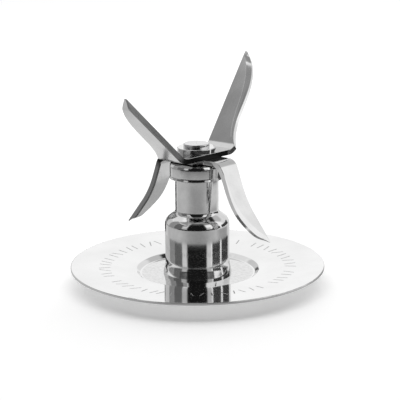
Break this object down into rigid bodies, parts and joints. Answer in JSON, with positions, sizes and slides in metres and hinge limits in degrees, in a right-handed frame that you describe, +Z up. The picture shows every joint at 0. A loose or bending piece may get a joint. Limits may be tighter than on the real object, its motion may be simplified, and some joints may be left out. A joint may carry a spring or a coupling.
{
  "type": "blender blade assembly",
  "caption": "Dished steel plate with a bearing post that carries crossed, bent blades on a turning shaft with a square drive socket underneath, for a kitchen blender jar.",
  "frame": {"origin": "on the shaft's axis, in the plane of the rolled lip that the assembly stands on", "axes": "+Z up along the shaft, -Y towards the viewer of the picture, +X to the viewer's right"},
  "size_m": [0.06, 0.06, 0.0511],
  "materials": {
    "plate_steel": "bright pressed stainless sheet",
    "turned_steel": "polished turned stainless",
    "blade_steel": "satin stainless with ground edges",
    "shaft_steel": "ground steel",
    "bronze": "sintered bronze, oiled",
    "felt": "oiled felt",
    "seal_rubber": "matt rubber",
    "washer_nylon": "natural nylon"
  },
  "bodies": {
    "base": {"base_plate": "plate_steel", "bearing_housing": "turned_steel", "lower_bush": "bronze", "oil_felt": "felt", "upper_bush": "bronze", "shaft_seal": "seal_rubber"},
    "rotor": {"drive_shaft": "shaft_steel", "drive_socket": "shaft_steel", "thrust_washer": "washer_nylon", "slinger_cap": "turned_steel", "lower_blade": "blade_steel", "upper_blade": "blade_steel", "top_washer": "turned_steel"}
  },
  "joints": [
    {"name": "blade_spin", "type": "hinge", "parent": "base", "child": "rotor", "pos_m": [0, 0, 0.028], "axis": [0, 0, 1], "continuous": true}
  ]
}
